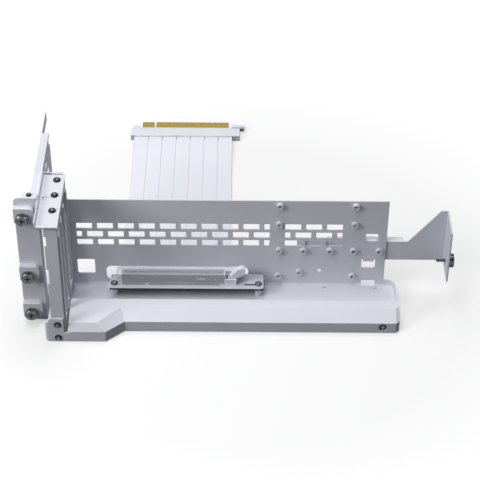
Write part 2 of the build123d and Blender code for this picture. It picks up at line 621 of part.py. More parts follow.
# Plate for the case: face with raised pads, side wall, lips and tongues
with BuildPart() as chassis_plate:
    with BuildSketch(at_x(PLATE_X - SHEET)):
        box_y(PLATE_FRONT, PLATE_BACK, 0, PLATE_TOP)
        front, back, low, high = PLATE_WINDOW
        with Locations((PANEL_Y + (front + back) / 2, (low + high) / 2)):
            RectangleRounded(back - front, high - low, PLATE_FACE_RADIUS, mode=Mode.SUBTRACT)
        for y in PLATE_SLOTS_Y:
            with Locations((PANEL_Y + y, PLATE_SLOT_Z)):
                RectangleRounded(*PLATE_SLOT_SIZE, WINDOW_RADIUS, mode=Mode.SUBTRACT)
    extrude(amount=SHEET)
    with BuildSketch(at_z(PLATE_TOP - SHEET)):
        box_xy(PLATE_X - PLATE_LIP, PLATE_X, PLATE_FRONT + BEND, PLATE_BACK)
    extrude(amount=SHEET)
    with BuildSketch(at_z(0)):
        box_xy(PLATE_X - PLATE_LIP, PLATE_X, PLATE_FRONT + BEND, PLATE_BACK)
    extrude(amount=SHEET)
    with BuildSketch(at_y(PLATE_FRONT)) as face:
        box_x(PLATE_FACE_LEFT, PLATE_X, 0, PLATE_FACE_TOP)
        fillet(face.vertices().group_by(Axis.X)[0], PLATE_FACE_RADIUS)
    extrude(amount=-SHEET)
    # raised pads, hollow behind and open at the left edge
    for slots in THUMB_SLOTS:
        z = THUMB_BOTTOM_Z + slots * SLOT_PITCH
        with BuildSketch(at_y(PLATE_FRONT)) as pad:
            box_x(PLATE_FACE_LEFT, PAD_RIGHT, z - PAD_BELOW, z + PAD_ABOVE)
            fillet(pad.vertices().group_by(Axis.X)[-1], PAD_RADIUS)
        extrude(amount=PAD_RISE)
        with BuildSketch(at_y(PLATE_FRONT + SHEET)) as pad:
            box_x(PLATE_FACE_LEFT, PAD_RIGHT - SHEET, z - PAD_BELOW + SHEET, z + PAD_ABOVE - SHEET)
            fillet(pad.vertices().group_by(Axis.X)[-1], PAD_RADIUS - SHEET)
        extrude(amount=PAD_RISE, mode=Mode.SUBTRACT)
        with BuildSketch(at_y(PLATE_FRONT)):
            screw_hole(THUMB_X, z, BOSS_NECK_RADIUS)
        extrude(amount=PAD_RISE, mode=Mode.SUBTRACT)
    # lip at the top of the face, for the black screw
    with BuildSketch(at_z(PLATE_FACE_TOP - SHEET)):
        box_xy(PLATE_X - 2 * PLATE_LIP + SHEET, PLATE_X, PLATE_FRONT, PLATE_FRONT + PLATE_LIP)
        with Locations((WALL_X + PLATE_X - PLATE_LIP, PANEL_Y + PLATE_FRONT + PLATE_LIP / 2 + SHEET)):
            Circle(BOSS_BORE_RADIUS, mode=Mode.SUBTRACT)
    extrude(amount=SHEET)
    # tongues, jogged outwards, that hook behind the case wall
    tongue_start = PLATE_BACK - TONGUE_JOG - TONGUE_ROOT
    tongue_x = WALL_X + PLATE_X
    for z in TONGUES_Z:
        with BuildSketch(at_x(PLATE_X - SHEET)):
            box_y(tongue_start + SHEET, PLATE_BACK, z - TONGUE_HEIGHT / 2, z + TONGUE_HEIGHT / 2)
        extrude(amount=SHEET, mode=Mode.SUBTRACT)
        with BuildSketch(at_z(z - TONGUE_HEIGHT / 2)):
            with BuildLine():
                Polyline(
                    (tongue_x, PANEL_Y + tongue_start),
                    (tongue_x, PANEL_Y + tongue_start + TONGUE_ROOT),
                    (tongue_x - TONGUE_JOG, PANEL_Y + PLATE_BACK),
                    (tongue_x - TONGUE_JOG, PANEL_Y + PLATE_BACK + TONGUE_LENGTH),
                )
                offset(amount=SHEET, side=Side.LEFT)
            make_face()
        extrude(amount=TONGUE_HEIGHT)
    # lug behind the slot frame's rear flange
    with BuildSketch(at_y(0)):
        box_x(PLATE_X - SHEET, -SHEET, TOP_REAR_SCREW_Z - TONGUE_HEIGHT, PLATE_TOP - SHEET)
        with Locations((WALL_X - REAR_FLANGE_WIDTH / 2, TOP_REAR_SCREW_Z)):
            Circle(SCREW_HOLE_RADIUS, mode=Mode.SUBTRACT)
    extrude(amount=-SHEET)
finish(chassis_plate, "chassis_plate")


# Screws
def thumb_profile(radius, reach):
    """Half section of a thumbscrew, head up along local Y, seated at zero."""
    Polygon(
        (0, -reach),
        (SHANK_RADIUS - SHANK_POINT, -reach),
        (SHANK_RADIUS, -reach + SHANK_POINT),
        (SHANK_RADIUS, 0),
        (THUMB_WAIST_RADIUS, 0),
        (THUMB_WAIST_RADIUS, THUMB_WAIST),
        (radius, THUMB_WAIST),
        (radius, THUMB_HEAD - THUMB_CHAMFER),
        (radius - THUMB_CHAMFER, THUMB_HEAD),
        (0, THUMB_HEAD),
        align=None,
    )


def thumbscrew(seat, reach, radius=THUMB_RADIUS):
    """Thumbscrew whose head stands on the plane seat and points along its normal."""
    cross_length, cross_width, cross_depth = THUMB_CROSS
    with BuildPart() as screw:
        with BuildSketch(Plane(seat.origin, x_dir=seat.x_dir, z_dir=-seat.y_dir)):
            thumb_profile(radius, reach)
        revolve(axis=Axis(seat.origin, seat.z_dir))
        # grip grooves with square bottoms set on a corner
        with BuildSketch(seat.offset(THUMB_WAIST)):
            with PolarLocations(radius, THUMB_GROOVES):
                Rectangle(THUMB_GROOVE, THUMB_GROOVE, rotation=45)
        extrude(amount=THUMB_HEAD - THUMB_WAIST - THUMB_CHAMFER, mode=Mode.SUBTRACT)
        with BuildSketch(seat.offset(THUMB_HEAD)):
            Rectangle(cross_length, cross_width)
            Rectangle(cross_width, cross_length)
        extrude(amount=-cross_depth, mode=Mode.SUBTRACT)
    return screw.part


def pan_screw(seat, head_radius, head_height, reach):
    """Cross-head screw seated on a plane, head along its normal."""
    with BuildPart() as screw:
        with BuildSketch(seat):
            Circle(head_radius)
        extrude(amount=head_height)
        chamfer(faces().sort_by(Axis(seat.origin, seat.z_dir))[-1].edges(), head_height * HEAD_CHAMFER)
        with BuildSketch(seat):
            Circle(SHANK_RADIUS)
        extrude(amount=-reach)
        with BuildSketch(seat.offset(head_height)):
            Rectangle(head_radius * CROSS_LENGTH, head_radius * CROSS_WIDTH)
            Rectangle(head_radius * CROSS_WIDTH, head_radius * CROSS_LENGTH)
        extrude(amount=-head_height * CROSS_DEPTH, mode=Mode.SUBTRACT)
    return screw.part


def screw_group(seats, **sizes):
    """Equal screws, one on each plane."""
    return [pan_screw(seat, **sizes) for seat in seats]


def joined(solids, name):
    with BuildPart() as group:
        for solid in solids:
            add(solid)
    finish(group, name)


def plane_y(x, y, z, front=True):
    """Seat facing the viewer (or away) at a point given from the datums."""
    return Plane((WALL_X + x, PANEL_Y + y, z), x_dir=(1, 0, 0), z_dir=(0, -1 if front else 1, 0))


def plane_z(x, y, z):
    return Plane((WALL_X + x, PANEL_Y + y, z), x_dir=(1, 0, 0), z_dir=(0, 0, 1))


def plane_x(x, y, z):
    return Plane((WALL_X + x, PANEL_Y + y, z), x_dir=(0, 1, 0), z_dir=(1, 0, 0))


card_seats = [
    plane_z(CARD_SCREW_X, LAST_CARD_SCREW_Y - i * SLOT_PITCH, FLANGE_Z) for i in range(SLOT_COUNT)
]
joined(
    screw_group(card_seats, head_radius=3.1, head_height=1.9, reach=5.0),
    "card_screws",
)

tab_seats = [plane_y(x, BULGE_FRONT, z) for x, z in TAB_SCREWS]
joined(
    screw_group(tab_seats, head_radius=3.0, head_height=1.2, reach=4.0),
    "tab_screws",
)

rear_seats = [plane_y(-REAR_FLANGE_WIDTH / 2, SHEET, z, False) for z in (*REAR_SCREWS_Z, TOP_REAR_SCREW_Z)]
joined(
    screw_group(rear_seats, head_radius=2.8, head_height=1.7, reach=4.0),
    "rear_screws",
)

side_seat = plane_x(SHEET, -SIDE_LUG_BACK - SIDE_LUG_DEPTH / 2, SHELF_Z + SIDE_LUG_HEIGHT / 2)
joined(
    screw_group([side_seat], head_radius=2.8, head_height=1.7, reach=4.0),
    "side_screw",
)

lip_seat = plane_z(PLATE_X - PLATE_LIP, PLATE_FRONT + PLATE_LIP / 2 + SHEET, PLATE_FACE_TOP)
joined(
    screw_group([lip_seat], head_radius=2.2, head_height=1.6, reach=3.0),
    "plate_screw",
)

bar_seat = plane_y(BAR_SCREW[0], BAR_FRONT + BAR_WALL / 2, BAR_SCREW[1])
joined(
    screw_group([bar_seat], head_radius=3.3, head_height=0.6, reach=8.0),
    "bar_screw",
)

riser_seats = [plane_z(x, BOARD_HOLES_Y, BOARD_TOP) for x in BOARD_HOLES_X]
joined(
    screw_group(riser_seats, head_radius=3.1, head_height=1.6, reach=6.0),
    "riser_screws",
)

pad_seats = [
    plane_y(THUMB_X, PLATE_FRONT - PAD_RISE, THUMB_BOTTOM_Z + slots * SLOT_PITCH) for slots in THUMB_SLOTS
]
joined([thumbscrew(seat, PLATE_THUMB_REACH) for seat in pad_seats], "plate_thumbscrews")

arm_back = SHEET + ARM_GAP + ARM_SHEET
arm_seat = plane_y(ARM_SCREW_X, arm_back + ARM_GAP, ARM_HOLES_Z, False)
joined([thumbscrew(arm_seat, arm_back + ARM_GAP + BOSS_HEIGHT - SHEET)], "arm_screw")
end_seat = plane_x(ARM_RIGHT, *ARM_THUMB)
joined([thumbscrew(end_seat, ARM_THUMB_REACH, END_THUMB_RADIUS)], "end_thumbscrew")

# Support arm
with BuildPart() as support_arm:
    with BuildSketch(at_y(SHEET + ARM_GAP)):
        with BuildLine():
            Polyline(
                [
                    (WALL_X + x, z)
                    for x, z in (
                        (ARM_LEFT, ARM_BOTTOM),
                        (ARM_RIGHT, ARM_BOTTOM),
                        (ARM_RIGHT, ARM_PEAK),
                        (ARM_RISE_END, ARM_PEAK),
                        (ARM_RISE_START, ARM_TOP),
                        (ARM_LEFT, ARM_TOP),
                    )
                ],
                close=True,
            )
        make_face()
        with Locations((WALL_X + ARM_SCREW_X, ARM_HOLES_Z)):
            SlotOverall(ARM_SLOT_LENGTH, ARM_SLOT_WIDTH, mode=Mode.SUBTRACT)
    extrude(amount=-ARM_SHEET)
    # stiffening lip along the top
    with BuildSketch(at_z(ARM_TOP - ARM_SHEET)):
        box_xy(ARM_LIP_LEFT, ARM_LIP_RIGHT, SHEET + ARM_GAP, SHEET + ARM_GAP + ARM_LIP_DEPTH)
    extrude(amount=ARM_SHEET)
    # end flange turned towards the card
    with BuildSketch(at_x(ARM_RIGHT - ARM_SHEET)):
        box_y(ARM_END_FRONT, SHEET + ARM_GAP, ARM_END_BOTTOM, ARM_PEAK)
        with Locations((PANEL_Y + ARM_THUMB[0], ARM_THUMB[1])):
            Circle(BOSS_NECK_RADIUS, mode=Mode.SUBTRACT)
    extrude(amount=ARM_SHEET)
finish(support_arm, "support_arm")

# Riser board, its posts, slot, shell and latch
with BuildPart() as riser_board:
    with BuildSketch(at_z(BOARD_TOP - BOARD_THICKNESS)) as board:
        box_xy(BOARD_LEFT, BOARD_RIGHT, BOARD_FRONT, BOARD_FRONT + BOARD_DEPTH)
        fillet(board.vertices().group_by(Axis.X)[0].sort_by(Axis.Y)[-1], BOARD_EAR_RADIUS)
        fillet(board.vertices().group_by(Axis.X)[-1], BOARD_RADIUS)
        for x in BOARD_HOLES_X:
            with Locations((WALL_X + x, PANEL_Y + BOARD_HOLES_Y)):
                Circle(SCREW_HOLE_RADIUS, mode=Mode.SUBTRACT)
        relief_x, relief_y = RELIEF_SLOT
        with Locations((WALL_X + relief_x + RELIEF_SLOT_SIZE[0] / 2, PANEL_Y + relief_y)):
            SlotOverall(*RELIEF_SLOT_SIZE, mode=Mode.SUBTRACT)
    extrude(amount=BOARD_THICKNESS)
finish(riser_board, "riser_board")

with BuildPart() as riser_posts:
    with BuildSketch(at_z(SHELF_Z)):
        for x in BOARD_HOLES_X:
            screw_hole(x, PANEL_Y + BOARD_HOLES_Y, POST_RADIUS)
    extrude(amount=BOARD_TOP - BOARD_THICKNESS - SHELF_Z)
    with BuildSketch(at_z(SHELF_Z)):
        for x in BOARD_HOLES_X:
            screw_hole(x, PANEL_Y + BOARD_HOLES_Y, BOSS_BORE_RADIUS)
    extrude(amount=BOARD_TOP - BOARD_THICKNESS - SHELF_Z, mode=Mode.SUBTRACT)
finish(riser_posts, "riser_posts")

slot_top = BOARD_TOP + SLOT_HEIGHT
slot_right = SLOT_LEFT + SLOT_LENGTH
key_x = SLOT_LEFT + SLOT_KEY


def slot_cavities():
    """Outline of the two parts of the slot, either side of its key."""
    low, high = SLOT_Y - CAVITY_WIDTH / 2, SLOT_Y + CAVITY_WIDTH / 2
    box_xy(SLOT_LEFT + CAVITY_END, key_x - SLOT_KEY_WIDTH / 2, low, high)
    box_xy(key_x + SLOT_KEY_WIDTH / 2, slot_right - CAVITY_END, low, high)


with BuildPart() as slot_housing:
    with BuildSketch(at_z(BOARD_TOP)):
        half = SLOT_WIDTH / 2 - SHELL
        box_xy(SLOT_LEFT - HOUSING_END, slot_right, SLOT_Y - half, SLOT_Y + half)
    extrude(amount=SLOT_HEIGHT - SHELL)
    with BuildSketch(at_z(slot_top)):
        slot_cavities()
    extrude(amount=-CAVITY_DEPTH, mode=Mode.SUBTRACT)
    # fork that carries the latch
    with BuildSketch(at_z(BOARD_TOP)):
        fork = LATCH_WIDTH / 2 + LATCH_GAP
        box_xy(slot_right, slot_right + FORK_LENGTH, SLOT_Y - fork - FORK_WALL, SLOT_Y - fork)
        box_xy(slot_right, slot_right + FORK_LENGTH, SLOT_Y + fork, SLOT_Y + fork + FORK_WALL)
    extrude(amount=FORK_HEIGHT)
    with BuildSketch(at_y(SLOT_Y - fork - FORK_WALL)):
        screw_hole(*LATCH_PIVOT, LATCH_BORE_RADIUS)
    extrude(amount=-2 * (fork + FORK_WALL), mode=Mode.SUBTRACT)
finish(slot_housing, "slot_housing")

with BuildPart() as slot_shell:
    with BuildSketch(at_z(BOARD_TOP)):
        box_xy(SLOT_LEFT, slot_right - SHELL_SHORT, SLOT_Y - SLOT_WIDTH / 2, SLOT_Y + SLOT_WIDTH / 2)
    extrude(amount=SLOT_HEIGHT)
    with BuildSketch(at_z(BOARD_TOP)):
        half = SLOT_WIDTH / 2 - SHELL
        box_xy(SLOT_LEFT, slot_right - SHELL_SHORT, SLOT_Y - half, SLOT_Y + half)
    extrude(amount=SLOT_HEIGHT - SHELL, mode=Mode.SUBTRACT)
    with BuildSketch(at_z(slot_top)):
        slot_cavities()
    extrude(amount=-SHELL, mode=Mode.SUBTRACT)
finish(slot_shell, "slot_shell")

with BuildPart() as slot_latch:
    with BuildSketch(plane_y(LATCH_PIVOT[0], SLOT_Y, LATCH_PIVOT[1])) as paddle:
        Polygon(*LATCH_PADDLE, align=None)
        fillet(paddle.vertices(), LATCH_EDGE_RADIUS)
        Circle(LATCH_HUB_RADIUS)
    extrude(amount=LATCH_WIDTH / 2, both=True)
    with BuildSketch(at_y(SLOT_Y)):
        screw_hole(*LATCH_PIVOT, LATCH_PIN_RADIUS)
    extrude(amount=fork + FORK_WALL - LATCH_PIN_INSET, both=True)
finish(slot_latch, "slot_latch")

# Moulded cover over the cable's soldered end
cover_front = SLOT_Y + SLOT_WIDTH / 2 + COVER_GAP
with BuildPart() as cable_cover:
    with BuildSketch(at_x(RIBBON_LEFT - COVER_END)):
        with BuildLine():
            Polyline(
                [
                    (PANEL_Y + y, z)
                    for y, z in (
                        (cover_front, BOARD_TOP),
                        (cover_front + COVER_DEPTH, BOARD_TOP),
                        (cover_front + COVER_DEPTH, BOARD_TOP + COVER_HEIGHT / 2),
                        (cover_front + COVER_DEPTH - COVER_SLOPE, BOARD_TOP + COVER_HEIGHT),
                        (cover_front, BOARD_TOP + COVER_HEIGHT),
                    )
                ],
                close=True,
            )
        make_face()
    extrude(amount=slot_right + COVER_PAST_SLOT - RIBBON_LEFT + COVER_END)
finish(cable_cover, "cable_cover")

# Ribbon strips: out of the cover, down to the floor and back up into the plug
strip_low = FLOOR_GAP + STRIP_THICKNESS / 2
strip_in = PLUG_HEIGHT / 2
start_y = cover_front + COVER_DEPTH
RIBBON_PATH = [
    Vector(PANEL_Y + y, z)
    for y, z in (
        (start_y, RIBBON_START_Z),
        (start_y + 10.0, RIBBON_START_Z),
        (start_y + 23.0, 12.5),
        (start_y + 38.0, 4.0),
        (start_y + 61.0, strip_low),
        (start_y + 99.0, 1.8),
        (PLUG_Y - 70.0, strip_low),
        (PLUG_Y - 35.0, 1.5),
        (PLUG_Y - 13.0, strip_in),
        (PLUG_Y, strip_in),
    )
]
ribbon_radii = []
for before, corner, after in zip(RIBBON_PATH, RIBBON_PATH[1:], RIBBON_PATH[2:]):
    arriving, leaving = corner - before, after - corner
    half_turn = radians(arriving.get_angle(leaving) / 2)
    ribbon_radii.append(BEND_SHARE * min(arriving.length, leaving.length) / tan(half_turn))
print("ribbon bend radii", [round(radius, 1) for radius in ribbon_radii])

for i in range(STRIP_COUNT):
    strip_left = RIBBON_LEFT + (i + 0.5) * STRIP_PITCH - STRIP_WIDTH / 2
    with BuildPart() as ribbon_strip:
        with BuildSketch(at_x(strip_left)):
            with BuildLine():
                FilletPolyline(
                    [point - Vector(0, STRIP_THICKNESS / 2) for point in RIBBON_PATH],
                    radius=ribbon_radii,
                )
                offset(amount=STRIP_THICKNESS, side=Side.LEFT)
            make_face()
        extrude(amount=STRIP_WIDTH)
    finish(ribbon_strip, f"ribbon_strip_{i + 1}")

# Plug: board with gold fingers between two shells, with a hook at the right
board_low = strip_in - BOARD_THICKNESS / 2
with BuildPart() as plug_board:
    with BuildSketch(at_z(board_low)):
        board_back = PLUG_Y + PLUG_DEPTH - BOARD_INSET
        box_xy(PLUG_LEFT + PLUG_END, PLUG_RIGHT - PLUG_END, PLUG_Y + BOARD_INSET, board_back)
        finger_key = FINGER_LEFT + FINGER_SHORT
        finger_end = finger_key + FINGER_KEY + FINGER_LONG
        finger_root, finger_tip = PLUG_Y + PLUG_DEPTH / 2, PLUG_Y + PLUG_DEPTH + FINGER_REACH
        box_xy(FINGER_LEFT, finger_key, finger_root, finger_tip)
        box_xy(finger_key + FINGER_KEY, finger_end, finger_root, finger_tip)
    extrude(amount=BOARD_THICKNESS)
finish(plug_board, "plug_board")


def plug_half(low, high, name):
    with BuildPart() as half_shell:
        with BuildSketch(at_z(low)):
            box_xy(PLUG_LEFT, PLUG_RIGHT, PLUG_Y, PLUG_Y + PLUG_DEPTH)
        extrude(amount=high - low)
        with BuildSketch(at_z(board_low)):
            box_xy(PLUG_LEFT + PLUG_END, PLUG_RIGHT - PLUG_END, PLUG_Y, PLUG_Y + PLUG_DEPTH)
        extrude(amount=BOARD_THICKNESS, mode=Mode.SUBTRACT)
    finish(half_shell, name)


plug_half(0, board_low + BOARD_THICKNESS / 2, "plug_shell_lower")
plug_half(board_low + BOARD_THICKNESS / 2, PLUG_HEIGHT, "plug_shell_upper")

with BuildPart() as plug_hook:
    with BuildSketch(at_z(board_low)):
        with BuildLine():
            Polyline(
                [
                    (WALL_X + x, PANEL_Y + y)
                    for x, y in (
                        (HOOK_LEFT, PLUG_Y + PLUG_DEPTH),
                        (HOOK_RIGHT, PLUG_Y + PLUG_DEPTH),
                        (HOOK_RIGHT, PLUG_Y + PLUG_DEPTH + HOOK_DEPTH),
                        (HOOK_LEFT + HOOK_SLOPE, PLUG_Y + PLUG_DEPTH + HOOK_DEPTH),
                    )
                ],
                close=True,
            )
        make_face()
    extrude(amount=HOOK_HEIGHT)
finish(plug_hook, "plug_hook")
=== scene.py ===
"""Looks of an upright graphics card mount: powder-coated sheet steel, dark thumbscrews,
a riser slot in its metal shell and a flat cable of seven strips with a gold-edged plug.

Lengths are in metres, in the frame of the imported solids.
"""
import math

import bmesh
import bpy
from mathutils import Matrix, Vector


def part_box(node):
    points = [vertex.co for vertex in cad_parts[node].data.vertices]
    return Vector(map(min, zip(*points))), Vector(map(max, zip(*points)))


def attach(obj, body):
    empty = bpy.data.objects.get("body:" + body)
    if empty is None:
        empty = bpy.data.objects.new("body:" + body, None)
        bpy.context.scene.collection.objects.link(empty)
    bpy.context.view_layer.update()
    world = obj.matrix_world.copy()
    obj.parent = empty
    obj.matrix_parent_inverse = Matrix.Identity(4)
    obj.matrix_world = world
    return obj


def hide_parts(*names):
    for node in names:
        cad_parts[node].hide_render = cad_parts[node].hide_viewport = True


MM = 0.001
STEEL_PARTS = ("main_frame", "panel_bosses", "front_bar", "slot_frame", "chassis_plate",
               "support_arm", "riser_posts")
BLACK_SCREWS = ("card_screws", "tab_screws", "rear_screws", "side_screw", "plate_screw",
                "bar_screw", "riser_screws")
THUMBSCREWS = ("plate_thumbscrews", "arm_screw", "end_thumbscrew")
PLASTIC_PARTS = ("slot_housing", "slot_latch", "cable_cover", "plug_shell_lower",
                 "plug_shell_upper", "plug_hook")

# The two datums of the part: the face of the slot wall and the front of the panel
WALL_X = -145.5 * MM
PANEL_Y = -9.55 * MM

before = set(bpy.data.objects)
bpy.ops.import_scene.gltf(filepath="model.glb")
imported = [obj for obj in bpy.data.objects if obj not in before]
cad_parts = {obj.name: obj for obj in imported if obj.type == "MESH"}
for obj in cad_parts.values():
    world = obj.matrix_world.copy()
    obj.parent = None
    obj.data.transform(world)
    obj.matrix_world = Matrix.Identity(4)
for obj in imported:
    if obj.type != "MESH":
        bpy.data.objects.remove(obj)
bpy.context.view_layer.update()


def at(x, y, z):
    """Point given in millimetres from the slot wall, the panel and the floor."""
    return Vector((WALL_X + x * MM, PANEL_Y + y * MM, z * MM))


# Camera
CAMERA_PLACE = at(145.7, -1033.6, 898.8)
CAMERA_PITCH = math.radians(50.727)
CAMERA_ROLL = math.radians(0.402)
SENSOR = 36.0
FOCAL_PIXELS = 1562.05
PICTURE_PIXELS = 480

camera_data = bpy.data.cameras.new("camera")
camera_data.sensor_width = SENSOR
camera_data.lens = SENSOR * FOCAL_PIXELS / PICTURE_PIXELS
camera_data.clip_start = 0.05
camera_data.clip_end = 50
camera = bpy.data.objects.new("camera", camera_data)
bpy.context.scene.collection.objects.link(camera)
camera.matrix_world = (
    Matrix.Translation(CAMERA_PLACE)
    @ Matrix.Rotation(CAMERA_PITCH, 4, "X")
    @ Matrix.Rotation(CAMERA_ROLL, 4, "Z")
)
bpy.context.scene.camera = camera


# Materials
BOARD_SHADE_BAND = (0.72, 0.82)       # shares of the board's thickness over which the painted shade on its lower part gives way to lacquer
TONGUE_EDGE = (235.0, 235.4)    # millimetres from the panel between which the amber tongue starts
CABLE_RIBS = 16


def blank_material(name):
    """New node material and its tools: nodes, links and the surface shader."""
    material = bpy.data.materials.new(name)
    material.use_nodes = True
    tree = material.node_tree
    return material, tree.nodes, tree.links, tree.nodes["Principled BSDF"]


def noise(nodes, links, scale, detail=2.0, stretch=(1, 1, 1)):
    """Noise in object space, with scale in waves per metre."""
    coordinates = nodes.new("ShaderNodeTexCoord")
    mapping = nodes.new("ShaderNodeMapping")
    mapping.inputs["Scale"].default_value = stretch
    texture = nodes.new("ShaderNodeTexNoise")
    texture.inputs["Scale"].default_value = scale
    texture.inputs["Detail"].default_value = detail
    links.new(coordinates.outputs["Object"], mapping.inputs["Vector"])
    links.new(mapping.outputs["Vector"], texture.inputs["Vector"])
    return texture.outputs["Fac"]


def ramp(nodes, links, factor, low, high, start=0.3, end=0.7):
    """Colour that goes from low to high as factor goes from start to end."""
    colours = nodes.new("ShaderNodeValToRGB")
    colours.color_ramp.elements[0].position = start
    colours.color_ramp.elements[0].color = (*low, 1)
    colours.color_ramp.elements[1].position = end
    colours.color_ramp.elements[1].color = (*high, 1)
    links.new(factor, colours.inputs["Fac"])
    return colours.outputs["Color"]


def spread(nodes, links, factor, low, high):
    """Number that goes from low to high as factor goes from 0 to 1."""
    span = nodes.new("ShaderNodeMapRange")
    span.inputs["To Min"].default_value = low
    span.inputs["To Max"].default_value = high
    links.new(factor, span.inputs["Value"])
    return span.outputs["Result"]


def soft_edge(nodes, radius):
    """Normal that rounds the sharp edges of a solid by a small radius."""
    edge = nodes.new("ShaderNodeBevel")
    edge.samples = 6
    edge.inputs["Radius"].default_value = radius
    return edge.outputs["Normal"]


def bump(nodes, links, height, depth, normal=None):
    """Normal with a height pattern of the given depth in metres."""
    relief = nodes.new("ShaderNodeBump")
    relief.inputs["Strength"].default_value = 1.0
    relief.inputs["Distance"].default_value = depth
    links.new(height, relief.inputs["Height"])
    if normal is not None:
        links.new(normal, relief.inputs["Normal"])
    return relief.outputs["Normal"]


def powder_coat():
    """White powder coat: a fine pebbled skin, softer at the edges, slightly uneven in gloss."""
    material, nodes, links, shader = blank_material("white_powder_coat")
    broad = noise(nodes, links, 14, 3)
    fine = noise(nodes, links, 1500, 2)
    links.new(ramp(nodes, links, broad, (0.655, 0.675, 0.735), (0.685, 0.705, 0.765)),
              shader.inputs["Base Color"])
    links.new(spread(nodes, links, fine, 0.40, 0.56), shader.inputs["Roughness"])
    shader.inputs["Specular IOR Level"].default_value = 0.35
    links.new(bump(nodes, links, fine, 0.00004, soft_edge(nodes, 0.0005)), shader.inputs["Normal"])
    return material


def black_oxide():
    """Black screws: dark, a little oily, with faint turning marks."""
    material, nodes, links, shader = blank_material("black_oxide_steel")
    grain = noise(nodes, links, 900, 3)
    links.new(ramp(nodes, links, grain, (0.016, 0.016, 0.018), (0.045, 0.045, 0.050)),
              shader.inputs["Base Color"])
    links.new(spread(nodes, links, grain, 0.28, 0.48), shader.inputs["Roughness"])
    shader.inputs["Metallic"].default_value = 0.6
    links.new(bump(nodes, links, grain, 0.00003, soft_edge(nodes, 0.00015)),
              shader.inputs["Normal"])
    return material


def dark_nickel():
    """Thumbscrews: dark nickel with fine scratches round the head."""
    material, nodes, links, shader = blank_material("dark_nickel")
    grain = noise(nodes, links, 700, 3, (1, 0.2, 1))
    links.new(ramp(nodes, links, grain, (0.17, 0.17, 0.18), (0.30, 0.30, 0.31)),
              shader.inputs["Base Color"])
    links.new(spread(nodes, links, grain, 0.22, 0.38), shader.inputs["Roughness"])
    shader.inputs["Metallic"].default_value = 0.95
    links.new(bump(nodes, links, grain, 0.00002), shader.inputs["Normal"])
    return material


def plain_metal(name, low, high, roughness):
    """Metal with faint mottling, used bare, as grey zinc and as painted shade in recesses."""
    material, nodes, links, shader = blank_material(name)
    grain = noise(nodes, links, 800, 3)
    links.new(ramp(nodes, links, grain, low, high), shader.inputs["Base Color"])
    links.new(spread(nodes, links, grain, roughness - 0.08, roughness + 0.08),
              shader.inputs["Roughness"])
    shader.inputs["Metallic"].default_value = 0.8
    return material


def board_lacquer():
    """White lacquered circuit board, the lower part of its thickness painted near black as shade
    under its edge.
    """
    material, nodes, links, shader = blank_material("white_board_lacquer_painted_shade")
    low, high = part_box("riser_board")
    coordinates = nodes.new("ShaderNodeTexCoord")
    axes = nodes.new("ShaderNodeSeparateXYZ")
    links.new(coordinates.outputs["Object"], axes.inputs["Vector"])
    depth = nodes.new("ShaderNodeMapRange")
    depth.inputs["From Min"].default_value = low.z + BOARD_SHADE_BAND[0] * (high.z - low.z)
    depth.inputs["From Max"].default_value = low.z + BOARD_SHADE_BAND[1] * (high.z - low.z)
    links.new(axes.outputs["Z"], depth.inputs["Value"])
    # painted shade: near black below the band, lacquer above it
    colour = ramp(nodes, links, depth.outputs["Result"],
                  (0.03, 0.03, 0.035), (0.55, 0.57, 0.63), 0.2, 0.8)
    links.new(colour, shader.inputs["Base Color"])
    weave = noise(nodes, links, 1200, 1)
    links.new(spread(nodes, links, weave, 0.22, 0.34), shader.inputs["Roughness"])
    links.new(bump(nodes, links, weave, 0.00002, soft_edge(nodes, 0.0002)),
              shader.inputs["Normal"])
    return material


def moulded_plastic(name, low, high):
    """Moulded plastic with a fine spark-eroded skin."""
    material, nodes, links, shader = blank_material(name)
    skin = noise(nodes, links, 1800, 2)
    broad = noise(nodes, links, 40, 2)
    links.new(ramp(nodes, links, broad, low, high), shader.inputs["Base Color"])
    links.new(spread(nodes, links, skin, 0.42, 0.55), shader.inputs["Roughness"])
    links.new(bump(nodes, links, skin, 0.00002, soft_edge(nodes, 0.0003)), shader.inputs["Normal"])
    return material


def brushed_shell(name, low, high):
    """Stamped steel shell of the slot, brushed along its length."""
    material, nodes, links, shader = blank_material(name)
    brush = noise(nodes, links, 500, 3, (0.05, 1, 1))
    links.new(ramp(nodes, links, brush, low, high), shader.inputs["Base Color"])
    links.new(spread(nodes, links, brush, 0.34, 0.46), shader.inputs["Roughness"])
    shader.inputs["Metallic"].default_value = 0.2
    links.new(bump(nodes, links, brush, 0.00001, soft_edge(nodes, 0.0002)),
              shader.inputs["Normal"])
    return material


def plug_board_lacquer():
    """White lacquered board whose bare tongue is amber between the gold fingers."""
    material, nodes, links, shader = blank_material("plug_board_lacquer")
    coordinates = nodes.new("ShaderNodeTexCoord")
    axes = nodes.new("ShaderNodeSeparateXYZ")
    links.new(coordinates.outputs["Object"], axes.inputs["Vector"])
    tongue = nodes.new("ShaderNodeMapRange")
    tongue.inputs["From Min"].default_value = at(0, TONGUE_EDGE[0], 0).y
    tongue.inputs["From Max"].default_value = at(0, TONGUE_EDGE[1], 0).y
    links.new(axes.outputs["Y"], tongue.inputs["Value"])
    colour = ramp(nodes, links, tongue.outputs["Result"],
                  (0.66, 0.68, 0.74), (0.42, 0.30, 0.08), 0, 1)
    links.new(colour, shader.inputs["Base Color"])
    weave = noise(nodes, links, 1200, 1)
    links.new(spread(nodes, links, weave, 0.25, 0.36), shader.inputs["Roughness"])
    return material


def gold_plate():
    """Gold-plated contacts with a slightly uneven shine."""
    material, nodes, links, shader = blank_material("gold_plating")
    patch = noise(nodes, links, 500, 2)
    links.new(ramp(nodes, links, patch, (0.66, 0.45, 0.08), (0.80, 0.57, 0.13)),
              shader.inputs["Base Color"])
    links.new(spread(nodes, links, patch, 0.22, 0.36), shader.inputs["Roughness"])
    shader.inputs["Metallic"].default_value = 0.45
    links.new(bump(nodes, links, patch, 0.00001), shader.inputs["Normal"])
    return material


